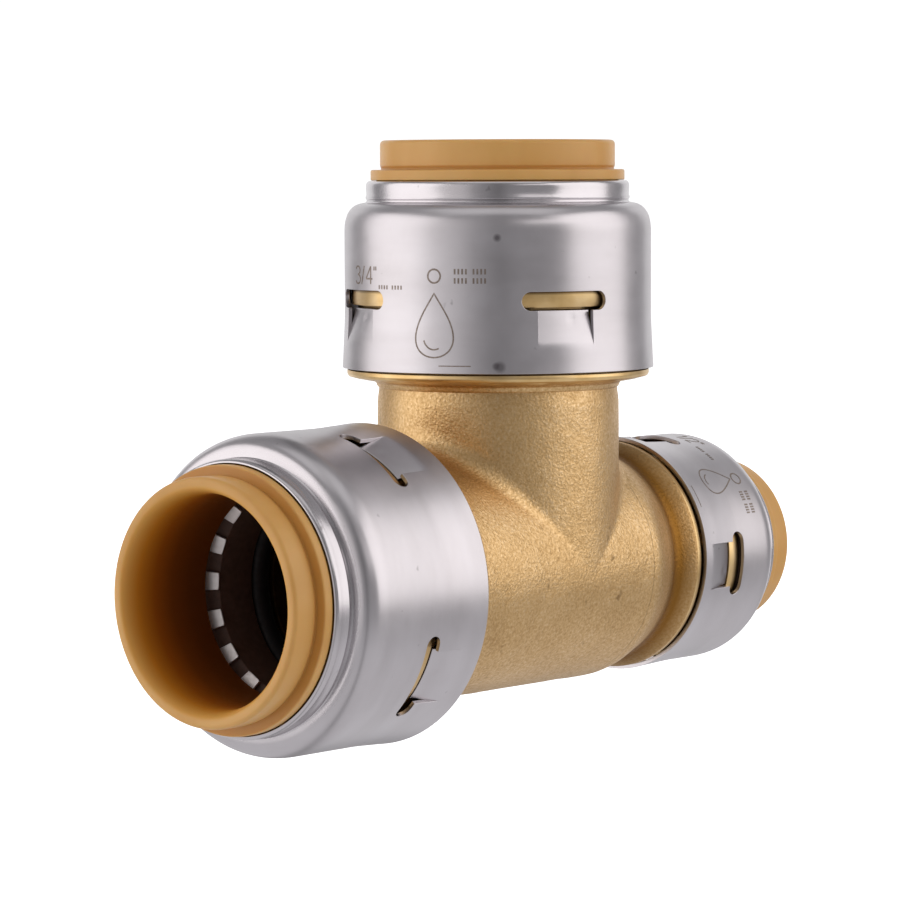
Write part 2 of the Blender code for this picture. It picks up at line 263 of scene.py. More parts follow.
def turned_brass(name, axis):
    """Machined brass with fine tool marks round the given axis."""
    m = Mat(name, (0.78, 0.55, 0.26), 0.3, 1.0)
    scale = [90.0, 90.0, 90.0]
    scale[axis] = 5200.0
    marks_round = m.noise(1.0, 3.0, 0.6, m.stretch(tuple(scale)))
    slow = m.noise(300.0, 3.0, 0.5)
    colour = m.ramp(slow, [(0.3, (0.64, 0.42, 0.17)), (0.55, (0.78, 0.55, 0.26)), (0.8, (0.88, 0.66, 0.36))])
    # Painted shadow: two thin dark rings on the brass, just under the edges of the collar's slots, where the
    # collar's edges shade it
    along = m.split()[axis]
    for sign, p in ((-1, P34), (1, P12)) if axis == 0 else ((1, P34),):
        for side, strength in ((0.5, 0.9), (-0.5, 0.6)):
            at = sign * (p["slot"] + side * p["slot_h"]) * MM
            off = m.math("ABSOLUTE", m.math("SUBTRACT", along, at))
            colour = m.mix(m.span(off, 0.00010, 0.00042, strength, 0.0), colour, (0.09, 0.05, 0.02, 1.0))
    rough = m.span(marks_round, 0.3, 0.7, 0.28, 0.42)
    m.set(Base_Color=colour, Roughness=rough, Normal=m.bump(marks_round, 0.00002, 0.4))
    return m.mat


def painted_shade_bore():
    """The sockets and waterway inside the casting: dull brass, painted dark as shade for the unlit inside."""
    m = Mat("painted_shade_bore", (0.10, 0.06, 0.025), 0.6, 1.0)
    slow = m.noise(400.0, 3.0, 0.6)
    m.set(
        Base_Color=m.ramp(slow, [(0.3, (0.07, 0.04, 0.015)), (0.7, (0.14, 0.085, 0.035))]),
        Normal=m.bump(slow, 0.0001, 0.5),
    )
    return m.mat


def satin_steel(name, p, scuffs):
    """Satin stainless: very fine lines round the collar, with soft smudges, scuffs and a few dark specks."""
    m = Mat(name, (0.60, 0.57, 0.58), 0.3, 1.0)
    lines = m.noise(1.0, 3.0, 0.6, m.stretch((70.0, 70.0, 9000.0)))
    smudge = m.noise(95.0, 4.0, 0.62)
    cloud = m.noise(1.0, 3.0, 0.5, m.stretch((60.0, 60.0, 260.0)))
    speck = m.span(m.noise(640.0, 2.0, 0.5), 0.73, 0.79, 0.0, 0.45)
    tone = m.math("ADD", m.math("MULTIPLY", cloud, 0.5), m.math("MULTIPLY", smudge, 0.5))
    colour = m.ramp(
        tone,
        [(0.3, (0.505, 0.478, 0.488)), (0.5, (0.585, 0.557, 0.572)), (0.72, (0.65, 0.625, 0.645))],
    )
    for angle, along, radius, size in scuffs:
        a = math.radians(angle)
        centre = (radius * math.cos(a) * MM, radius * math.sin(a) * MM, along * MM)
        near = m.span(m.vector_math("DISTANCE", centre), 0.4 * size * MM, size * MM, 0.75, 0.0)
        patchy = m.math("MULTIPLY", near, m.span(smudge, 0.3, 0.6, 0.6, 1.0))
        colour = m.mix(patchy, colour, (0.13, 0.11, 0.12, 1.0))
    colour = m.mix(speck, colour, (0.22, 0.20, 0.20, 1.0))
    # The drawn lip is brighter and smoother than the brushed skirt
    lip = (p["shoulder"] + 2.2) * MM
    polish = m.span(m.split()[2], lip, lip + 0.0005, 0.0, -0.09)
    rough = m.math("ADD", m.span(lines, 0.25, 0.75, 0.30, 0.33), m.span(smudge, 0.35, 0.7, -0.03, 0.05))
    rough = m.math("ADD", rough, polish)
    tangent = m.tree.nodes.new("ShaderNodeTangent")
    tangent.direction_type = "RADIAL"
    tangent.axis = "Z"
    m.set(Base_Color=colour, Roughness=rough, Normal=m.bump(lines, 0.000003, 0.15))
    m.set(Anisotropic=0.3, Tangent=tangent.outputs["Tangent"])
    return m.mat


def spring_steel():
    m = Mat("spring_steel", (0.86, 0.82, 0.80), 0.42, 1.0)
    lines = m.noise(1.0, 3.0, 0.6, m.stretch((2200.0, 2200.0, 500.0)))
    m.set(Roughness=m.span(lines, 0.3, 0.7, 0.38, 0.5), Normal=m.bump(lines, 0.00002, 0.5))
    return m.mat


def tan_plastic(name, p):
    """Moulded tan acetal, slightly translucent, with painted light and shade inside: lit orange just inside
    the mouth and shaded deep brown further in.
    """
    m = Mat(name, (0.73, 0.38, 0.105), 0.36)
    flow = m.noise(1.0, 3.0, 0.5, m.stretch((140.0, 140.0, 60.0)))
    fine = m.noise(2600.0, 2.0, 0.5)
    tans = [(0.25, (0.68, 0.36, 0.10)), (0.5, (0.74, 0.41, 0.125)), (0.8, (0.82, 0.48, 0.17))]
    outside = m.ramp(flow, tans)
    # A thin darker line where the barrel meets the flange: painted shade in the crease
    base = m.math("SUBTRACT", m.split()[2], p["flange"][1] * MM)
    corner = m.math("MULTIPLY", m.span(base, 0.0, 0.0006, 1.0, 0.0), m.span(base, -0.0001, 0.0, 0.0, 0.6))
    outside = m.mix(corner, outside, (0.50, 0.21, 0.03, 1.0))
    # Painted light and shade in the bore: lit orange near the mouth, darkening to shaded brown with depth
    shade_depth = m.math("SUBTRACT", p["mouth"] * MM, m.split()[2])
    inside = m.ramp(
        m.span(shade_depth, 0.0004, 0.0100, 0.0, 1.0),
        [
            (0.0, (0.77, 0.39, 0.08)),
            (0.16, (0.72, 0.27, 0.02)),
            (0.42, (0.44, 0.12, 0.004)),
            (0.70, (0.26, 0.07, 0.003)),
            (1.0, (0.20, 0.055, 0.004)),
        ],
    )
    within = m.span(m.from_axis(), (p["bore"] + 0.55) * MM, (p["bore"] + 1.0) * MM, 1.0, 0.0)
    colour = m.mix(within, outside, inside)
    rough = m.math("ADD", m.span(fine, 0.3, 0.7, 0.32, 0.42), m.math("MULTIPLY", within, 0.15))
    m.set(Base_Color=colour, Roughness=rough, Normal=m.bump(fine, 0.00001, 0.5))
    m.set(Specular_IOR_Level=0.32, Subsurface_Weight=0.15)
    m.set(Subsurface_Radius=(0.9, 0.4, 0.1), Subsurface_Scale=0.0015)
    return m.mat


def brown_plastic():
    m = Mat("brown_plastic", (0.12, 0.07, 0.05), 0.6)
    fine = m.noise(1800.0, 3.0, 0.5)
    colour = m.ramp(fine, [(0.3, (0.10, 0.058, 0.042)), (0.7, (0.145, 0.088, 0.068))])
    m.set(Base_Color=colour, Roughness=m.span(fine, 0.3, 0.7, 0.55, 0.7), Normal=m.bump(fine, 0.00002, 0.5))
    return m.mat


def black_rubber():
    m = Mat("black_rubber", (0.006, 0.006, 0.008), 0.6)
    fine = m.noise(2200.0, 3.0, 0.5)
    m.set(Roughness=m.span(fine, 0.3, 0.7, 0.55, 0.7), Normal=m.bump(fine, 0.000015, 0.5))
    return m.mat


def etched():
    """Laser-darkened steel of the size marks."""
    m = Mat("etched_steel", (0.20, 0.16, 0.14), 0.5, 0.8)
    fine = m.noise(3000.0, 2.0, 0.5)
    m.set(Base_Color=m.ramp(fine, [(0.3, (0.22, 0.175, 0.145)), (0.7, (0.33, 0.28, 0.245))]))
    return m.mat


# ---------------------------------------------------------------- mesh helpers
def rounded(points, steps=4):
    """Points are (r, s) or (r, s, fillet radius). Corners with a radius become arcs."""
    out = []
    count = len(points)
    for i, point in enumerate(points):
        radius = point[2] if len(point) > 2 else 0.0
        here = np.array(point[:2], float)
        if not radius:
            out.append(tuple(here))
            continue
        before = np.array(points[i - 1][:2], float) - here
        after = np.array(points[(i + 1) % count][:2], float) - here
        len_a, len_b = np.linalg.norm(before), np.linalg.norm(after)
        before, after = before / len_a, after / len_b
        half = math.acos(max(-1.0, min(1.0, float(before @ after)))) / 2
        reach = min(radius / math.tan(half), 0.49 * len_a, 0.49 * len_b)
        true_r = reach * math.tan(half)
        centre = here + (before + after) / np.linalg.norm(before + after) * (true_r / math.sin(half))
        start, finish = here + before * reach - centre, here + after * reach - centre
        a0, a1 = math.atan2(start[1], start[0]), math.atan2(finish[1], finish[0])
        turn = (a1 - a0 + math.pi) % math.tau - math.pi
        for k in range(steps + 1):
            a = a0 + turn * k / steps
            out.append((centre[0] + true_r * math.cos(a), centre[1] + true_r * math.sin(a)))
    return out


def smooth_curve(points, steps=4):
    """A smooth curve through all the points."""
    pts = np.array([points[0], *points, points[-1]])
    out = []
    for a, b, c, d in zip(pts, pts[1:], pts[2:], pts[3:]):
        for t in np.arange(steps) / steps:
            curve = 2 * b + (c - a) * t + (2 * a - 5 * b + 4 * c - d) * t**2 + (3 * b - a - 3 * c + d) * t**3
            out.append(tuple(curve / 2))
    return out + [tuple(pts[-1])]


def mesh_object(name, verts, faces, mats, face_mats=None, sharp=32.0):
    mesh = bpy.data.meshes.new(name)
    mesh.from_pydata([tuple(v) for v in verts], [], faces)
    for mat in mats:
        mesh.materials.append(mat)
    if face_mats is not None:
        mesh.polygons.foreach_set("material_index", face_mats)
    obj = bpy.data.objects.new(name, mesh)
    bpy.context.scene.collection.objects.link(obj)
    bm = bmesh.new()
    bm.from_mesh(mesh)
    bmesh.ops.recalc_face_normals(bm, faces=bm.faces)
    bm.to_mesh(mesh)
    bm.free()
    mesh.shade_smooth()
    mesh.set_sharp_from_angle(angle=math.radians(sharp))
    return obj


def turned(name, profile, mat, sides, sharp):
    """A closed ring turned about the port's axis."""
    angles = np.arange(sides) * math.tau / sides
    rs = np.array(profile) * MM
    verts = np.stack(
        [
            rs[:, None, 0] * np.cos(angles)[None],
            rs[:, None, 0] * np.sin(angles)[None],
            np.repeat(rs[:, None, 1], sides, axis=1),
        ],
        axis=-1,
    ).reshape(-1, 3)
    faces = []
    count = len(profile)
    for k in range(count):
        n = (k + 1) % count
        for i in range(sides):
            j = (i + 1) % sides
            faces.append((k * sides + i, k * sides + j, n * sides + j, n * sides + i))
    return mesh_object(name, verts, faces, [mat], sharp=sharp)


def round_edges(obj, width):
    """Add a fine bevel to the sharp edges. Its width is in millimetres."""
    bevel = obj.modifiers.new("edges", "BEVEL")
    bevel.width = width * MM
    bevel.segments = 2
    bevel.limit_method = "ANGLE"
    bevel.angle_limit = math.radians(50)
    return obj


def at_angle(degrees, radius, along):
    """A point round the port's axis, from millimetres to metres."""
    a = math.radians(degrees)
    return (radius * math.cos(a) * MM, radius * math.sin(a) * MM, along * MM)


def place(obj, turn, body, node, slot):
    obj.rotation_euler = (0.0, math.radians(turn), 0.0)
    bpy.context.view_layer.update()
    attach(obj, body)
    if node:
        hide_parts(node)


# ---------------------------------------------------------------- collar
def collar_radius(p, s):
    mid_r, mid_s = p["mid_flare"]
    if s < mid_s:
        share = (mid_s - s) / (mid_s - p["rear"])
        return mid_r + (p["flare_r"] - mid_r) * share**1.3
    share = max(0.0, (p["straight"] - s) / (p["straight"] - mid_s))
    return p["r"] + (mid_r - p["r"]) * share**1.4


# The drawn lip, as (radius past lip_r, distance past the shoulder's end) in LIP_FOOT,
# and as (radius past lip_r, distance behind lip_front) in LIP_FRONT
LIP_FOOT = ((0.0924, 0.06), (-0.03, 0.18), (-0.05, 0.34), (0.05, 0.52), (0.06, 0.68), (-0.02, 0.86))
LIP_FRONT = ((0.01, 0.75), (0.01, 0.5), (-0.03, 0.32), (-0.11, 0.16), (-0.24, 0.05), (-0.40, 0.0))


def collar_path(p):
    """The shell's outside as (radius, along), its rows up to the shoulder, and the slot's edges."""
    low, high = p["slot"] - p["slot_h"] / 2, p["slot"] + p["slot_h"] / 2
    margin = 0.4
    foot = 0.7
    begin = p["shoulder"] - foot
    rows = list(np.linspace(p["rear"], p["tab_root"], 7))
    rows += list(np.linspace(p["tab_root"], low - margin, 9))[1:]
    rows += list(np.linspace(low, high, 9)) + [high + margin]
    rows += list(np.linspace(high + margin, begin, 8))[1:]
    path = [(collar_radius(p, s), s) for s in rows]
    # The shoulder is a rounded square, so that its curve starts softly from the skirt
    bend = p["shoulder_r"]
    inside = path[-1][0] - bend
    rise = foot + 0.985 * bend
    for a in np.radians(np.linspace(0.0, 81.0, 22)[1:]):
        path.append((inside + bend * math.cos(a) ** 0.82, begin + rise * math.sin(a) ** 0.82))
    crest = path[-1][1]
    path += [(p["lip_r"] + out, crest + past) for out, past in LIP_FOOT]
    path += [(p["lip_r"] + out, p["lip_front"] - behind) for out, behind in LIP_FRONT]
    return np.array(path), rows, low, high


def collar(name, p, clocking, mat):
    """A pressed shell with real slots, and tabs sheared at both sides and bent into the brass groove."""
    path, rows, low, high = collar_path(p)
    ahead = np.gradient(path, axis=0)
    normals = np.stack([ahead[:, 1], -ahead[:, 0]], axis=1)
    normals /= np.linalg.norm(normals, axis=1)[:, None]
    inner = path - normals * p["wall"]
    inner[-4:, 0] = p["lip_r"] - p["wall"]
    inner[-4:, 1] = np.linspace(inner[-5, 1], p["lip_front"] - 0.3, 5)[1:]
    row_of = {round(s, 4): k for k, s in reversed(list(enumerate(rows)))}
    k_root = row_of[round(p["tab_root"], 4)]
    k_low, k_high = row_of[round(low, 4)], row_of[round(high, 4)]
    k_box0, k_box1 = k_low - 1, k_high + 1

    # Columns of one quarter, in degrees from the middle of its slot. A box stands round each end of the slot.
    half_tab = p["tab_span"] / 2
    end_deg = math.degrees(p["slot_h"] / 2 / p["r"])
    reach = p["slot_span"] / 2 - end_deg
    box = reach + end_deg + 0.9
    right = list(np.linspace(0.0, half_tab, 9)) + list(np.linspace(half_tab, reach, 3))[1:]
    right += list(np.linspace(reach, box, 6))[1:] + list(np.linspace(box, 45.0, 14))[1:]
    quarter = [-a for a in reversed(right[1:])] + right
    cols = [a + 90.0 * q for q in range(4) for a in quarter[:-1]]
    n_cols = len(cols)
    local = [((a + 45.0) % 90.0) - 45.0 for a in cols]
    verts, faces, index = [], [], {}

    def point(angle, radius, along):
        verts.append(at_angle(angle + clocking, radius, along))
        return len(verts) - 1

    def bend(along, angle):
        """How far the tab is pressed in: more toward its free edge, with a small dimple near that edge."""
        share = max(0.0, (along - p["tab_root"]) / (low - p["tab_root"]))
        drop = p["tab_drop"] * (0.88 * share + 0.12 * share * share)
        dimple = math.exp(-(((along - low + 1.0) / 0.34) ** 2) - ((angle - 3.2) * 0.3 / 0.34) ** 2)
        return drop + 0.15 * dimple

    def grid(side, k, i, on_tab):
        """The point of row k and column i, on the outside (side 1) or the inside (side 0)."""
        i %= n_cols
        tab_vert = on_tab and k > k_root
        key = (side, k, i, tab_vert)
        if key not in index:
            r, s = (path if side else inner)[k]
            if tab_vert:
                r -= bend(path[k][1], local[i])
            index[key] = point(cols[i], r, s)
        return index[key]

    def is_open(a, k):
        """True in a slot, and in the boxes round its ends, which slot_end fills."""
        in_slot = k_low <= k < k_high and abs(a) < reach
        in_box = reach - 1e-6 < abs(a) < box + 1e-6 and k_box0 <= k < k_box1
        return in_slot or in_box

    for side in (1, 0):
        for k in range(len(path) - 1):
            for i in range(n_cols):
                j = (i + 1) % n_cols
                after = local[j] if local[j] > local[i] else local[j] + 90.0
                middle = ((local[i] + after) / 2 + 45.0) % 90.0 - 45.0
                if is_open(middle, k):
                    continue
                tab = k_root <= k < k_low and abs(middle) < half_tab
                corners = ((k, i), (k, j), (k + 1, j), (k + 1, i))
                face = tuple(grid(side, row, column, tab) for row, column in corners)
                faces.append(face if side else face[::-1])

    def slot_end(side, centre, sign):
        """Fill between the box round a slot's end and its half-round edge."""

        def off_centre(i):
            return ((cols[i] - centre + 180.0) % 360.0) - 180.0

        edge = [i for i in range(n_cols) if reach - 1e-4 < sign * off_centre(i) < box + 1e-4]
        edge.sort(key=lambda i: sign * off_centre(i))
        loop = [(k_box1, i) for i in edge]
        loop += [(k, edge[-1]) for k in range(k_box1 - 1, k_box0, -1)]
        loop += [(k_box0, i) for i in reversed(edge)]
        lengths = [0.0]
        for (k0, i0), (k1, i1) in zip(loop, loop[1:]):
            along = path[k1][1] - path[k0][1]
            across = (off_centre(i1) - off_centre(i0)) * math.pi / 180 * p["r"]
            lengths.append(lengths[-1] + math.hypot(along, across))
        outer = [grid(side, k, i, False) for k, i in loop]
        ring = [grid(side, k_high, edge[0], False)]
        for length in lengths[1:-1]:
            a = math.pi / 2 - math.pi * length / lengths[-1]
            s = p["slot"] + p["slot_h"] / 2 * math.sin(a)
            r = float(np.interp(s, path[: k_box1 + 1, 1], path[: k_box1 + 1, 0]))
            if not side:
                r -= p["wall"]
            ring.append(point(centre + sign * (reach + end_deg * math.cos(a)), r, s))
        ring.append(grid(side, k_low, edge[0], False))
        for n in range(len(loop) - 1):
            faces.append((outer[n], outer[n + 1], ring[n + 1], ring[n]))

    for side in (1, 0):
        for q in range(4):
            for sign in (1, -1):
                slot_end(side, 90.0 * q, sign)

    # Close the shell: join each open edge of the outside to the same edge of the inside
    uses = {}
    for face in faces:
        for a, b in zip(face, face[1:] + face[:1]):
            key = (min(a, b), max(a, b))
            uses[key] = uses.get(key, 0) + 1
    twin = {}
    for (side, *rest), v in index.items():
        if side and (0, *rest) in index:
            twin[v] = index[(0, *rest)]
    # The slot ends' own points were made in the same order on both sides
    gridded = set(index.values())
    loose = [v for v in range(len(verts)) if v not in gridded]
    half = len(loose) // 2
    twin.update(zip(loose[:half], loose[half:]))
    for (a, b), count in uses.items():
        if count == 1 and a in twin and b in twin:
            faces.append((a, b, twin[b], twin[a]))
    return round_edges(mesh_object(name, verts, faces, [mat], sharp=28.0), 0.07)


# ---------------------------------------------------------------- etched marks
# Strokes of each character, on a grid one unit high
GLYPHS = {
    "3": [
        [(0.04, 0.84), (0.14, 0.96), (0.3, 1.0), (0.46, 0.96), (0.56, 0.84), (0.55, 0.67), (0.45, 0.56)]
        + [(0.28, 0.53)],
        [(0.28, 0.53), (0.48, 0.49), (0.6, 0.36), (0.6, 0.18), (0.48, 0.04), (0.3, 0.0), (0.12, 0.04)]
        + [(0.02, 0.17)],
    ],
    "4": [[(0.47, 0.0), (0.47, 1.0)], [(0.47, 1.0), (0.0, 0.3)], [(0.0, 0.3), (0.64, 0.3)]],
    "1": [[(0.1, 0.8), (0.34, 1.0)], [(0.34, 1.0), (0.34, 0.0)]],
    "2": [
        [(0.03, 0.78), (0.1, 0.93), (0.28, 1.0), (0.47, 0.94), (0.57, 0.8), (0.54, 0.62), (0.38, 0.42)]
        + [(0.0, 0.02)],
        [(0.0, 0.0), (0.6, 0.0)],
    ],
    "/": [[(0.0, -0.02), (0.3, 1.02)]],
    '"': [[(0.03, 1.0), (0.03, 0.78)], [(0.2, 1.0), (0.2, 0.78)]],
}
NUMERAL_HIGH = 1.95
TICK_PITCH = 0.42


def resample(points, step, closed):
    """Points at even steps along the line, in millimetres."""
    points = np.array(points + points[:1] if closed else points, float)
    run = np.concatenate([[0.0], np.cumsum(np.linalg.norm(np.diff(points, axis=0), axis=1))])
    count = max(2, math.ceil(run[-1] / step) + 1)
    at = np.linspace(0.0, run[-1], count)
    out = np.stack([np.interp(at, run, points[:, 0]), np.interp(at, run, points[:, 1])], axis=1)
    return out[:-1] if closed else out


def mark_strokes(p, size_text):
    """Numerals, a drop outline, a ring and rows of ticks, as (points, width, closed) in millimetres."""
    high = p["slot"] + (2.75 if p is P34 else 3.6)
    middle = p["slot"] - (2.6 if p is P34 else 0.2)
    low = p["rear"] + 0.85
    k = p["r"] / P34["r"]
    strokes = []
    at = -12.6 * k
    for glyph in size_text:
        for line in GLYPHS[glyph]:
            points = [(at + NUMERAL_HIGH * k * u, high - 1.0 + NUMERAL_HIGH * v) for u, v in line]
            strokes.append((points, 0.2, False))
        at += {"/": 1.0, "1": 1.25}.get(glyph, 1.5) * k
    drop = []
    for t in np.arange(48) * math.tau / 48:
        drop.append((3.1 * k * math.sin(t) * abs(math.sin(t / 2)) ** 1.3, middle + 3.5 * k * math.cos(t)))
    strokes.append((drop, 0.17, True))
    glint = []
    for a in np.linspace(3.4, 5.2, 9):
        glint.append((1.25 * k * math.cos(a), middle - 1.3 * k + 1.35 * k * math.sin(a)))
    strokes.append((glint, 0.17, False))
    ring = [(0.75 * math.cos(a), high + 0.75 * math.sin(a)) for a in np.arange(24) * math.tau / 24]
    strokes.append((ring, 0.2, True))
    # Rows of ticks, as (height, first, last, length)
    for row, start, stop, tall in (
        (high + 0.5, 2.4, 6.4, 0.6),
        (high - 0.5, 2.4, 6.4, 0.6),
        (high - 1.3, -7.6, -4.2, 0.45),
    ):
        for i, u in enumerate(np.arange(start, stop, TICK_PITCH)):
            if i % 5 != 4:
                strokes.append(([(u * k, row - tall / 2), (u * k, row + tall / 2)], 0.2, False))
    strokes.append(([(0.6 * k, low), (4.2 * k, low)], 0.12, False))
    return strokes


def marks(name, p, centre_deg, strokes, mat):
    """Thin inlaid ribbons that follow the collar's skin."""
    proud, sunk = 0.012, -0.08
    verts, faces = [], []
    for points, width, closed in strokes:
        line = resample(points, 0.28, closed)
        ahead = np.roll(line, -1, axis=0) - np.roll(line, 1, axis=0) if closed else np.gradient(line, axis=0)
        ahead /= np.linalg.norm(ahead, axis=1)[:, None]
        across = np.stack([-ahead[:, 1], ahead[:, 0]], axis=1) * width / 2
        base = len(verts)
        for centre, offset in zip(line, across):
            for edge, lift in ((offset, proud), (-offset, proud), (-offset, sunk), (offset, sunk)):
                u, s = centre + edge
                verts.append(at_angle(centre_deg + math.degrees(u / p["r"]), collar_radius(p, s) + lift, s))
        count = len(line)
        for i in range(count if closed else count - 1):
            j = (i + 1) % count
            for m in range(4):
                n = (m + 1) % 4
                faces.append((base + 4 * i + m, base + 4 * i + n, base + 4 * j + n, base + 4 * j + m))
        if not closed:
            faces.append(tuple(base + m for m in range(4)))
            faces.append(tuple(base + 4 * (count - 1) + m for m in reversed(range(4))))
    return mesh_object(name, verts, faces, [mat], sharp=30.0)


# ---------------------------------------------------------------- rings
def release_ring(name, p, mat):
    catch_low, catch_high, catch_r = p["catch"]
    flange_low, flange_high, flange_r = p["flange"]
    mouth, barrel, bore = p["mouth"], p["barrel"], p["bore"]
    chamfer = p["nose_r"] - bore - 0.35
    profile = rounded(
        [
            (bore, p["nose"], 0.12), (bore + 0.35, p["nose"], 0.12),
            (p["nose_r"], p["nose"] + chamfer, 0.2), (p["nose_r"], catch_low, 0.1),
            (catch_r, catch_low, 0.15), (catch_r, catch_high - 0.2, 0.1), (catch_r - 0.3, catch_high, 0.1),
            (p["stem"], catch_high, 0.1), (p["stem"], flange_low, 0.05),
            (flange_r + 0.07, flange_low, 0.14), (flange_r + 0.07, flange_high, 0.22),
            (barrel - 0.1, flange_high, 0.06), (barrel - 0.1, flange_high + 0.2, 0.1),
            (barrel, flange_high + 0.45, 0.2), (barrel, mouth, 0.62),
        ]
        + [
            (bore + 0.95 * (1 - math.sin(a)), mouth - 2.4 * (1 - math.cos(a)))
            for a in np.linspace(0.12, math.pi / 2, 10)
        ],
        5,
    )
    return turned(name, profile, mat, 176, 40.0)


def brace_ring(name, p, mat):
    low, high, inner, outer = p["brace"]
    profile = rounded([(inner, low, 0.12), (outer, low, 0.12), (outer, high, 0.2), (inner, high, 0.2)], 3)
    return turned(name, profile, mat, 128, 40.0)


def separator(name, p, mat):
    low, flange_low, flange_high, tube_r, flange_r, bore = p["separator"]
    knee_r, knee_s = p["knee"]
    seat = knee_s - 0.75
    slope = (knee_s - p["tip"][1]) / (knee_r - p["tip"][0])
    foot = seat - slope * (knee_r - bore - 0.1)
    profile = rounded(
        [
            (bore, low, 0.15), (tube_r, low, 0.15), (tube_r, flange_low, 0.1), (flange_r, flange_low, 0.1),
            (flange_r, flange_high, 0.15), (p["root_r"] + 0.2, flange_high, 0.2), (knee_r, seat, 0.1),
            (bore + 0.1, foot, 0.05), (bore, foot - 0.1, 0.05),
        ],
        3,
    )
    return turned(name, profile, mat, 128, 40.0)


def seal_ring(name, p, mat):
    centre_r, along, section = p["oring"]
    profile = []
    for i in range(28):
        a = math.tau * i / 28
        profile.append((centre_r + section * math.cos(a), along + section * math.sin(a)))
    return turned(name, profile, mat, 144, 60.0)


# Columns across one tooth, and across one gap
STEPS = 6


def grab_ring(name, p, clocking, mat):
    """Flat ring with leaning teeth. Each tooth has its own curved root and a square, slightly rounded end."""
    plane, root_r, outer_r = p["plane"], p["root_r"], p["grip_r"]
    pitch = 360.0 / p["teeth"]
    thick = 0.3
    verts, faces = [], []

    def point(angle, radius, along):
        verts.append(at_angle(angle + clocking, radius, along))
        return len(verts) - 1

    columns = []
    for tooth in range(p["teeth"]):
        columns += [(pitch * (tooth - 0.25 + 0.5 * k / STEPS), True) for k in range(STEPS)]
        columns += [(pitch * (tooth + 0.25 + 0.5 * k / STEPS), False) for k in range(STEPS)]
    ring = []
    for angle, _ in columns:
        ring.append(
            (
                point(angle, outer_r, plane),
                point(angle, root_r + 0.25, plane),
                point(angle, root_r, plane - 0.05),
                point(angle, root_r, plane - thick - 0.05),
                point(angle, root_r + 0.25, plane - thick),
                point(angle, outer_r, plane - thick),
            )
        )
    count = len(columns)
    front = np.array(rounded([(root_r, plane - 0.05), (*p["knee"], 0.7), p["tip"]], 5))
    ahead = np.gradient(front, axis=0)
    ahead /= np.linalg.norm(ahead, axis=1)[:, None]
    back = front + np.stack([-ahead[:, 1], ahead[:, 0]], axis=1) * (thick - 0.02)
    back[0] = (root_r, plane - thick - 0.05)
    rows = len(front) - 1
    tooth_rows = {}

    def tooth_row(i, row):
        """Front and back points of a tooth at this column and row, from the root down to the tip."""
        if row == 0:
            return ring[i][2], ring[i][3]
        key = (i, row)
        if key not in tooth_rows:
            angle, _ = columns[i]
            share = row / rows
            tooth = round(angle / pitch)
            from_centre = (angle - pitch * tooth) / (pitch * 0.25)
            corner = 0.10 * max(0.0, abs(from_centre) - 0.6) / 0.4 if row == rows else 0.0
            narrow = 1.0 - 0.05 * share
            a = pitch * tooth + (angle - pitch * tooth) * narrow
            tooth_rows[key] = tuple(point(a, side[row][0] + corner, side[row][1]) for side in (front, back))
        return tooth_rows[key]

    for i in range(count):
        j = (i + 1) % count
        a, b = ring[i], ring[j]
        for m in range(5):
            if m == 2 and columns[i][1]:
                continue
            faces.append((a[m], b[m], b[m + 1], a[m + 1]))
        faces.append((a[5], b[5], b[0], a[0]))
    for tooth in range(p["teeth"]):
        span = [2 * STEPS * tooth + k for k in range(STEPS + 1)]
        for row in range(rows):
            for i, j in zip(span, span[1:]):
                j %= count
                fa, ba = tooth_row(i, row)
                fb, bb = tooth_row(j, row)
                fa2, ba2 = tooth_row(i, row + 1)
                fb2, bb2 = tooth_row(j, row + 1)
                faces.append((fa, fb, fb2, fa2))
                faces.append((ba, ba2, bb2, bb))
            for i in (span[0], span[-1] % count):
                fa, ba = tooth_row(i, row)
                fa2, ba2 = tooth_row(i, row + 1)
                faces.append((fa, fa2, ba2, ba))
        for i, j in zip(span, span[1:]):
            j %= count
            fa, ba = tooth_row(i, rows)
            fb, bb = tooth_row(j, rows)
            faces.append((fa, fb, bb, ba))
    return round_edges(mesh_object(name, verts, faces, [mat], sharp=40.0), 0.04)


# ---------------------------------------------------------------- body
def end_profile(p, lead):
    """One end as (radius, along), from the cast tube out over the flange and back down the bore."""
    start, finish, groove_r = p["groove"]
    seat_r, seat_s = p["seat"]
    land, end, socket, stop = p["land"], p["end"], p["socket"], p["stop"]
    bore = BORE_34 if p is P34 else BORE_12
    return rounded(
        lead
        + [
            (land, start, 0.08), (groove_r, start, 0.08), (groove_r, finish, 0.08), (land, finish, 0.12),
            (land, end - 0.3, 0.1), (land - 0.3, end, 0.1), (seat_r + 0.3, end, 0.1),
            (seat_r, end - 0.4, 0.1), (seat_r, seat_s, 0.1), (socket, seat_s, 0.1), (socket, stop, 0.1),
            (bore, stop, 0.1), (bore, stop - 0.6),
        ],
        2,
    )


def noise_field(points, scale, seed):
    shift = Vector((seed * 7.1, seed * 3.3, seed * 5.7))
    return np.array([noise.noise(Vector(p) * scale + shift) for p in points])


# Finishes of the casting's faces, in the order of its materials
CAST, TURNED_X, TURNED_Z, IN_BORE = range(4)


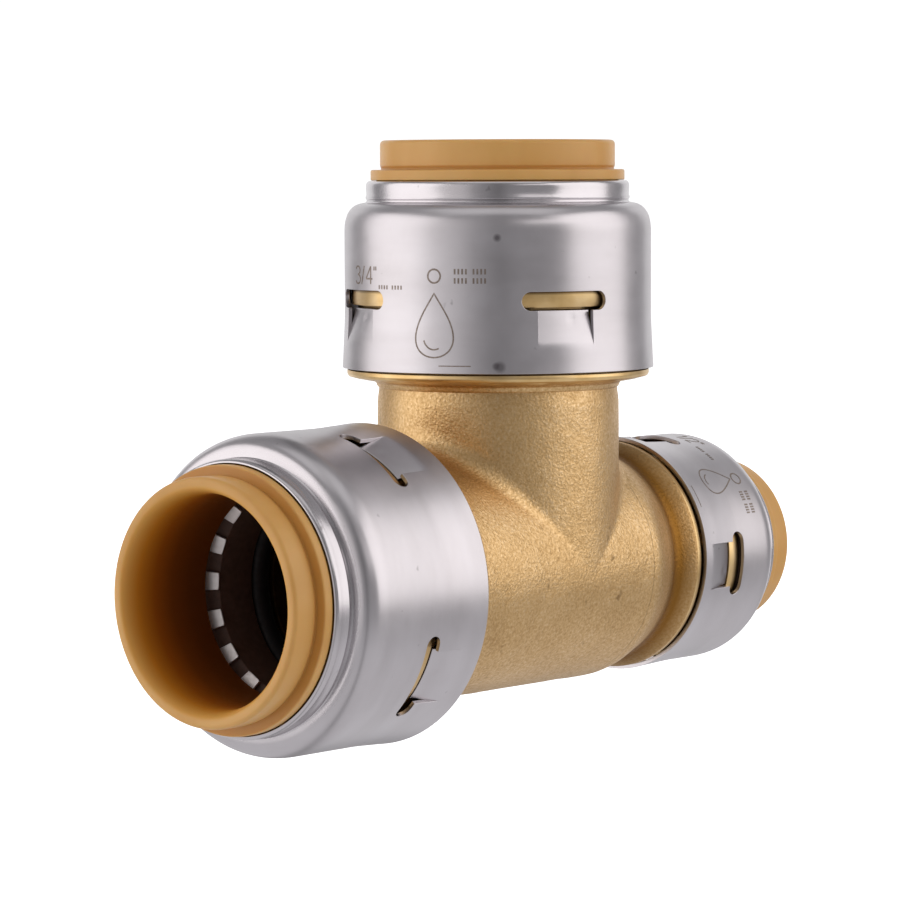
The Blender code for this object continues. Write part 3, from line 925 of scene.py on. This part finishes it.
def tee_body(mats):
    """The whole casting as one mesh. Run and branch share the points where they cross."""
    n = 288
    steps = 60
    lead_34 = [
        (TUBE_R, 20.55, 0.4), (13.75, 21.05, 0.25), (14.25, 21.3, 0.3), (16.0, 21.6, 0.4),
        (16.85, 21.8, 0.2), (17.0, 22.1, 0.2), (17.0, 22.55, 0.12), (16.45, 22.55, 0.08),
    ]
    neck = [(13.43, 13.0), (13.25, 13.6), (13.05, 14.2), (12.8, 14.9), (12.52, 15.7), (12.3, 16.5)]
    neck += [(12.2, 17.1), (12.27, 17.7), (12.55, 18.4), (12.93, 19.15), (13.18, 19.65), (13.25, 19.95)]
    neck = smooth_curve(neck)[4:]
    out_34 = end_profile(P34, lead_34)
    out_12 = end_profile(P12, neck + [(13.25, 20.65, 0.16), (12.6, 20.65)])
    narrow = [(BORE_12, 17.0), (BORE_12, 12.0)]
    verts, faces, kinds = [], [], []
    cache = {}

    def add(key, xyz):
        if key not in cache:
            cache[key] = len(verts)
            verts.append(xyz)
        return cache[key]

    def about_x(i, x, r):
        a = math.tau * i / n
        return (x, -r * math.cos(a), r * math.sin(a))

    def about_z(i, z, r):
        a = math.tau * i / n
        return (r * math.sin(a), -r * math.cos(a), z)

    def run_point(sign, i, k, r, inner):
        """Point k of steps on the run, from where it meets the branch (or x = 0) out to the tube's end."""
        i %= n
        z = r * math.sin(math.tau * i / n)
        begin = max(z, 0.0)
        end = 19.0 if sign < 0 else 9.0 if inner else 13.6
        side = "both" if k == 0 and z <= 1e-9 else sign
        return add((inner, "run", side, i, k), about_x(i, sign * (begin + (end - begin) * k / steps), r))

    def branch_point(i, k, r, inner):
        """Point k of steps up the branch from the crossing, whose points are the run's."""
        i %= n
        x = r * math.sin(math.tau * i / n)
        if k == 0:
            on_right = x > 0 or abs(x) < 1e-9
            return run_point(1 if on_right else -1, i if on_right else (n - i) % n, 0, r, inner)
        return add((inner, "up", i, k), about_z(i, abs(x) + (19.0 - abs(x)) * k / steps, r))

    def patch(point, kind):
        for i in range(n):
            for k in range(steps):
                faces.append((point(i, k), point(i + 1, k), point(i + 1, k + 1), point(i, k + 1)))
                kinds.append(kind)

    def left(i, k, r=TUBE_R, inner=False):
        return run_point(-1, i, k, r, inner)

    def right(i, k, r=TUBE_R, inner=False):
        return run_point(1, i, k, r, inner)

    def up(i, k, r=TUBE_R, inner=False):
        return branch_point(i, k, r, inner)

    for tube in (left, right, up):
        patch(tube, CAST)
    for tube in (left, right, up):
        patch(lambda i, k, tube=tube: tube(i, k, BORE_34, True), IN_BORE)
    skin_count = len(verts)

    def end_rows(tube, sign, about, profile, cast_rows, bore_row, machined):
        """Continue the tube's last ring along the profile, then join the waterway's last ring."""
        previous = [tube(i, steps) for i in range(n)]
        for row, (r, s) in enumerate(profile):
            ring = []
            for i in range(n):
                ragged = 0.0
                if tube is not right and 7 <= row < 12:
                    a = math.tau * i / n
                    ragged = 0.07 * noise.noise(Vector((9 * math.cos(a), 9 * math.sin(a), 0.4 * row)))
                ring.append(add((tube.__name__, row, i), about(i, sign * (s + ragged), r)))
            for i in range(n):
                j = (i + 1) % n
                faces.append((previous[i], previous[j], ring[j], ring[i]))
                kinds.append(CAST if row < cast_rows else IN_BORE if row >= bore_row else machined)
            previous = ring
        last = [tube(i, steps, BORE_34, True) for i in range(n)]
        for i in range(n):
            j = (i + 1) % n
            faces.append((previous[i], previous[j], last[j], last[i]))
            kinds.append(IN_BORE)

    end_rows(left, -1, about_x, out_34[:-1], 9, len(out_34) - 14, TURNED_X)
    end_rows(up, 1, about_z, out_34[:-1], 9, len(out_34) - 14, TURNED_Z)
    end_rows(right, 1, about_x, out_12 + narrow, len(neck), len(out_12) - 14, TURNED_X)
    shaped = fillet_crossing(np.array(verts), skin_count)
    return mesh_object("tee_body_fine", shaped * MM, faces, mats, kinds, sharp=38.0)


def fillet_crossing(points, skin_count):
    """Pull the cast skin onto a smooth union of the two tubes, then add the casting's own unevenness."""
    out = points.copy()
    r_run = np.hypot(points[:, 1], points[:, 2])
    r_up = np.hypot(points[:, 0], points[:, 1])
    skin = np.minimum(np.abs(r_run - TUBE_R), np.abs(r_up - TUBE_R)) < 0.02
    skin &= np.minimum(r_run, r_up) > BORE_34 - 4.0
    skin[skin_count:] = False
    p = out[skin]

    def field(q):
        """Distance outside the smooth union, with the run tapering a little toward the outlet's waist."""
        run = np.hypot(q[:, 1], q[:, 2])
        up = np.hypot(q[:, 0], q[:, 1])
        taper = 0.35 * np.clip((q[:, 0] - 11.6) / 2.0, 0.0, 1.0) ** 2
        d_run, d_up = run - TUBE_R + taper, up - TUBE_R
        away = np.maximum(0.0, -q[:, 2])
        d_up = np.where(q[:, 2] < 0, np.maximum(d_up, np.hypot(np.maximum(d_up, 0), away)), d_up)
        n_run = np.stack([np.zeros(len(q)), q[:, 1] / run, q[:, 2] / run], axis=1)
        n_up = np.stack([q[:, 0] / up, q[:, 1] / up, np.zeros(len(q))], axis=1)
        # The fillet is wide in the corners and dies out where the two tubes are tangent
        k = 3.2 * np.clip(1.0 - np.sum(n_run * n_up, axis=1), 0.0, 1.0) ** 1.25 + 1e-4
        k = np.where(q[:, 2] < 0, 1e-4, k)
        h = np.clip(0.5 + 0.5 * (d_up - d_run) / k, 0.0, 1.0)
        return d_up * (1 - h) + d_run * h - k * h * (1 - h)

    reach = 0.01
    for _ in range(6):
        here = field(p)
        grad = np.zeros_like(p)
        for axis in range(3):
            step = np.zeros(3)
            step[axis] = reach
            grad[:, axis] = (field(p + step) - field(p - step)) / (2 * reach)
        length = np.maximum((grad**2).sum(axis=1), 0.05)
        p = p - grad * (here / length)[:, None]
    slow = noise_field(p, 0.22, 1) * 0.05 + noise_field(p, 0.7, 2) * 0.025 + noise_field(p, 1.9, 3) * 0.01
    grad /= np.linalg.norm(grad, axis=1)[:, None]
    # The unevenness fades out before the machined ends
    fade = np.clip((19.0 - np.abs(p[:, 0])) / 2.0, 0.0, 1.0) * np.clip((19.0 - p[:, 2]) / 2.0, 0.0, 1.0)
    fade *= np.clip((13.5 - p[:, 0]) / 2.0, 0.0, 1.0)
    out[skin] = p + grad * (slow * fade)[:, None]
    return out


# ---------------------------------------------------------------- stage
def camera():
    """Set up the camera. Returns the directions backward and to the right of it."""
    az, el, roll = math.radians(-49.59), math.radians(4.07), math.radians(-0.21)
    back = Vector((math.sin(az) * math.cos(el), -math.cos(az) * math.cos(el), math.sin(el)))
    right = Vector((math.cos(az), math.sin(az), 0.0))
    up = back.cross(right)
    target = right * -5.45 * MM + up * 13.27 * MM
    distance = 439.26 * MM
    side = right * math.cos(roll) + up * math.sin(roll)
    top = up * math.cos(roll) - right * math.sin(roll)
    data = bpy.data.cameras.new("camera")
    data.sensor_width = 36.0
    data.lens = 155.168
    data.clip_start = 0.01
    data.clip_end = 20.0
    obj = bpy.data.objects.new("camera", data)
    bpy.context.scene.collection.objects.link(obj)
    turn = Matrix((side, top, back)).transposed().to_4x4()
    obj.matrix_world = Matrix.Translation(target + back * distance) @ turn
    bpy.context.scene.camera = obj
    return back, right


def softbox(name, direction, distance, size, power, tint=(1.0, 1.0, 1.0)):
    """A rectangular lamp, aimed at the fitting's middle. Distance and size are in metres, power in watts."""
    data = bpy.data.lights.new(name, "AREA")
    data.shape = "RECTANGLE"
    data.size, data.size_y = size
    data.energy = power
    data.color = tint
    obj = bpy.data.objects.new(name, data)
    bpy.context.scene.collection.objects.link(obj)
    aim = Vector((0.0, 0.0, 0.012))
    obj.location = aim + direction.normalized() * distance
    obj.rotation_euler = (obj.location - aim).to_track_quat("Z", "Y").to_euler()
    obj.visible_camera = False


def stage(back, right):
    """A pale floor, a soft white room and the lamps, which are placed by the camera's directions."""
    bpy.context.scene.view_settings.view_transform = "Standard"
    bpy.context.scene.view_settings.look = "None"
    mat = Mat("pale_floor", (0.93, 0.93, 0.935), 0.8)
    fine = mat.noise(40.0, 2.0, 0.5)
    mat.set(Base_Color=mat.ramp(fine, [(0.3, (0.925, 0.925, 0.93)), (0.7, (0.94, 0.94, 0.945))]))
    mat.set(Emission_Color=(1.0, 1.0, 1.0, 1.0), Emission_Strength=0.9)
    size, floor_z = 6.0, -0.045
    corners = [(x * size, y * size, floor_z) for x, y in ((-1, -1), (1, -1), (1, 1), (-1, 1))]
    floor = mesh_object("floor", corners, [(0, 1, 2, 3)], [mat.mat])
    floor.visible_diffuse = False
    floor.visible_glossy = False

    world = bpy.data.worlds.new("studio")
    bpy.context.scene.world = world
    world.use_nodes = True
    room = Nodes(world.node_tree, "Generated")
    shade = room.tree.nodes["Background"]
    shade.inputs["Color"].default_value = (0.98, 0.97, 1.0, 1.0)
    # Brighter below, where a pale table throws light back, with a dark gap between the lamps at the two sides
    height = room.span(room.vector_math("DOT_PRODUCT", (0.0, 0.0, 1.0)), -0.55, -0.12, 0.74, 0.34)
    sideways = room.math("ABSOLUTE", room.vector_math("DOT_PRODUCT", right))
    gap = room.span(sideways, 0.03, 0.16, 0.45, 1.0)
    room.put(shade.inputs["Strength"], room.math("MULTIPLY", height, gap))
    plain = room.tree.nodes.new("ShaderNodeBackground")
    plain.inputs["Color"].default_value = (1.0, 1.0, 1.0, 1.0)
    plain.inputs["Strength"].default_value = 1.05
    path = room.tree.nodes.new("ShaderNodeLightPath")
    mixer = room.tree.nodes.new("ShaderNodeMixShader")
    room.put(mixer.inputs["Fac"], path.outputs["Is Camera Ray"])
    room.put(mixer.inputs[1], shade.outputs["Background"])
    room.put(mixer.inputs[2], plain.outputs["Background"])
    room.put(room.tree.nodes["World Output"].inputs["Surface"], mixer.outputs["Shader"])

    def toward(side_deg, up_deg):
        a, e = math.radians(side_deg), math.radians(up_deg)
        flat = Vector((back.x, back.y, 0.0)).normalized()
        return (flat * math.cos(a) + right * math.sin(a)) * math.cos(e) + Vector((0, 0, math.sin(e)))

    warm = (1.0, 0.965, 0.955)
    softbox("left_box", toward(-84.0, 10.0), 0.75, (0.84, 0.9), 2.95, warm)
    softbox("left_fill", toward(-40.0, 10.0), 0.85, (0.45, 0.7), 0.42, warm)
    softbox("right_box", toward(81.0, 20.0), 0.75, (0.80, 0.75), 2.4, warm)
    softbox("tab_light", toward(35.0, 25.0), 0.9, (0.50, 0.18), 0.25, warm)
    softbox("top_box", toward(0.0, 78.0), 0.8, (0.9, 0.6), 0.8)
    softbox("back_box", toward(180.0, 8.0), 1.2, (2.0, 1.2), 5.0)


def build():
    back, right = camera()
    spring = spring_steel()
    brown, rubber, laser = brown_plastic(), black_rubber(), etched()
    tan_34, tan_12 = tan_plastic("tan_plastic_34", P34), tan_plastic("tan_plastic_12", P12)
    turned_x, turned_z = turned_brass("turned_brass_x", 0), turned_brass("turned_brass_z", 2)
    body = tee_body([cast_brass(), turned_x, turned_z, painted_shade_bore()])
    place(body, 0.0, "tee", "tee_body", "brass")
    for port, p, turn, clocking, teeth_clocking in PORTS:
        tan = tan_34 if p is P34 else tan_12
        steel = satin_steel(f"satin_stainless_{port}", p, SCUFFS.get(port, []))
        pieces = (
            ("collar", collar, (clocking, steel), f"{port}_collar_body", "stainless"),
            ("release_ring", release_ring, (tan,), f"{port}_release", "tan_plastic"),
            ("brace_ring", brace_ring, (steel,), f"{port}_grip", "stainless"),
            ("grab_ring", grab_ring, (teeth_clocking, spring), f"{port}_grip", "spring_steel"),
            ("separator", separator, (brown,), "tee", "brown_plastic"),
            ("oring", seal_ring, (rubber,), "tee", "black_rubber"),
        )
        for node, make, details, body_name, slot in pieces:
            obj = make(f"{port}_{node}_fine", p, *details)
            place(obj, turn, body_name, f"{port}_{node}", slot)
        text, centre = MARKS[port]
        sign = marks(f"{port}_size_marks", p, centre, mark_strokes(p, text), laser)
        place(sign, turn, f"{port}_collar_body", None, "stainless")
    stage(back, right)


build()
